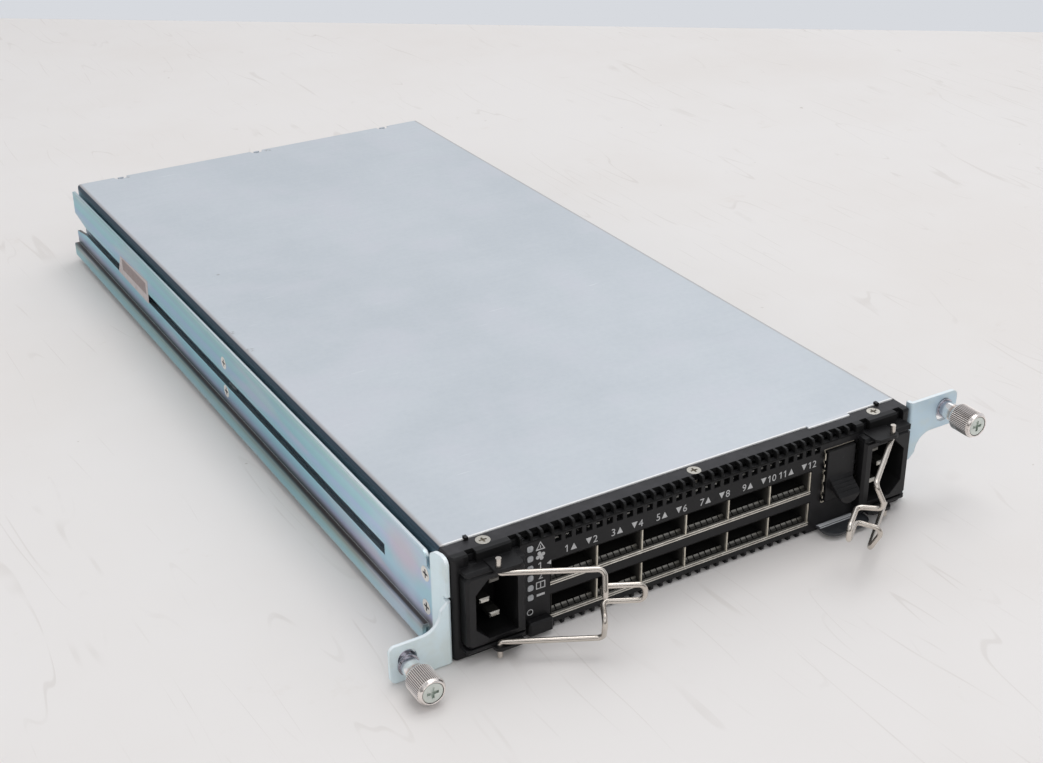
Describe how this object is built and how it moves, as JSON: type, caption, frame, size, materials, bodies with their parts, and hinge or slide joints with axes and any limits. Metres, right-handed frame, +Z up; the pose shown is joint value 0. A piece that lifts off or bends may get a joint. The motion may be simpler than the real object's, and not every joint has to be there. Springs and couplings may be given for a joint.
{
  "type": "ethernet switch",
  "caption": "Half-width rack network switch with rows of module ports, power inlets held by wire clips, slotted side rails and ears with captive thumbscrews.",
  "frame": {"origin": "centre of the chassis's bottom face, where it rests", "axes": "+X to the right seen from the front, +Y from the front to the back, +Z up"},
  "size_m": [0.248, 0.4453, 0.0429],
  "materials": {
    "galvanised_sheet": "matte galvanised",
    "black_plastic": "satin",
    "screw_nickel": "bright nickel",
    "blade_nickel": "bright nickel",
    "lead_sleeve": "satin",
    "cage_nickel": "bright nickel",
    "connector_plastic": "matte",
    "light_window": "clear satin",
    "button_plastic": "satin",
    "tab_plastic": "satin",
    "board_laminate": "satin",
    "spacer_steel": "plated",
    "chip_body": "matte",
    "sink_aluminium": "extruded",
    "supply_case": "matte",
    "zinc_rail": "passivated zinc",
    "clip_wire": "bright nickel",
    "fan_plastic": "matte"
  },
  "bodies": {
    "chassis": {"base_tray": "galvanised_sheet", "top_cover": "galvanised_sheet", "rear_panel": "galvanised_sheet", "front_panel": "galvanised_sheet", "front_bezel": "black_plastic", "bezel_screws": "screw_nickel", "left_inlet": "black_plastic", "right_inlet": "black_plastic", "left_inlet_pins": "blade_nickel", "right_inlet_pins": "blade_nickel", "left_inlet_leads": "lead_sleeve", "right_inlet_leads": "lead_sleeve", "lower_port_cage": "cage_nickel", "upper_port_cage": "cage_nickel", "lower_port_gasket": "cage_nickel", "upper_port_gasket": "cage_nickel", "lower_port_connectors": "connector_plastic", "upper_port_connectors": "connector_plastic", "light_pipes": "light_window", "reset_switch": "black_plastic", "management_jack_shield": "cage_nickel", "management_jack": "black_plastic", "management_jack_cap": "black_plastic", "service_port_shell": "cage_nickel", "service_port_cap": "black_plastic", "label_tab_guide": "tab_plastic", "main_board": "board_laminate", "board_standoffs": "spacer_steel", "switch_chip": "chip_body", "heat_sink": "sink_aluminium", "left_power_supply": "supply_case", "right_power_supply": "supply_case", "power_sockets": "connector_plastic", "left_rail": "zinc_rail", "right_rail": "zinc_rail", "left_rail_screws": "screw_nickel", "right_rail_screws": "screw_nickel", "left_rail_spacers": "spacer_steel", "right_rail_spacers": "spacer_steel", "left_thumbscrew_collar": "screw_nickel", "right_thumbscrew_collar": "screw_nickel", "fan_frame_1": "fan_plastic", "fan_frame_2": "fan_plastic", "fan_frame_3": "fan_plastic", "fan_frame_4": "fan_plastic"},
    "left_clip": {"left_cord_clip": "clip_wire"},
    "right_clip": {"right_cord_clip": "clip_wire"},
    "left_thumbscrew": {"left_thumbscrew_knob": "screw_nickel", "left_thumbscrew_stem": "screw_nickel"},
    "right_thumbscrew": {"right_thumbscrew_knob": "screw_nickel", "right_thumbscrew_stem": "screw_nickel"},
    "pull_tab": {"label_tab": "tab_plastic"},
    "reset": {"reset_button": "button_plastic"},
    "fan_1": {"fan_rotor_1": "fan_plastic"},
    "fan_2": {"fan_rotor_2": "fan_plastic"},
    "fan_3": {"fan_rotor_3": "fan_plastic"},
    "fan_4": {"fan_rotor_4": "fan_plastic"}
  },
  "joints": [
    {"name": "left_clip_swing", "type": "hinge", "parent": "chassis", "child": "left_clip", "pos_m": [-0.08567, -0.21154, 0.021], "axis": [0, 0, 1], "range_deg": [-82, 20]},
    {"name": "right_clip_swing", "type": "hinge", "parent": "chassis", "child": "right_clip", "pos_m": [0.08567, -0.21154, 0.021], "axis": [0, 0, 1], "range_deg": [-31, 71]},
    {"name": "left_thumbscrew_turn", "type": "hinge", "parent": "chassis", "child": "left_thumbscrew", "pos_m": [-0.1175, -0.2155, 0.0066], "axis": [0, 1, 0], "continuous": true},
    {"name": "right_thumbscrew_turn", "type": "hinge", "parent": "chassis", "child": "right_thumbscrew", "pos_m": [0.1175, -0.2155, 0.0367], "axis": [0, 1, 0], "continuous": true},
    {"name": "label_tab_slide", "type": "slide", "parent": "chassis", "child": "pull_tab", "axis": [0, -1, 0], "range_m": [0, 0.038]},
    {"name": "reset_press", "type": "slide", "parent": "chassis", "child": "reset", "axis": [0, 1, 0], "range_m": [0, 0.0008], "stiffness_N_per_m": 500},
    {"name": "fan_1_spin", "type": "hinge", "parent": "chassis", "child": "fan_1", "pos_m": [-0.07125, 0.1899, 0.0206], "axis": [0, 1, 0], "continuous": true},
    {"name": "fan_2_spin", "type": "hinge", "parent": "chassis", "child": "fan_2", "pos_m": [-0.02375, 0.1899, 0.0206], "axis": [0, 1, 0], "continuous": true},
    {"name": "fan_3_spin", "type": "hinge", "parent": "chassis", "child": "fan_3", "pos_m": [0.02375, 0.1899, 0.0206], "axis": [0, 1, 0], "continuous": true},
    {"name": "fan_4_spin", "type": "hinge", "parent": "chassis", "child": "fan_4", "pos_m": [0.07125, 0.1899, 0.0206], "axis": [0, 1, 0], "continuous": true}
  ]
}
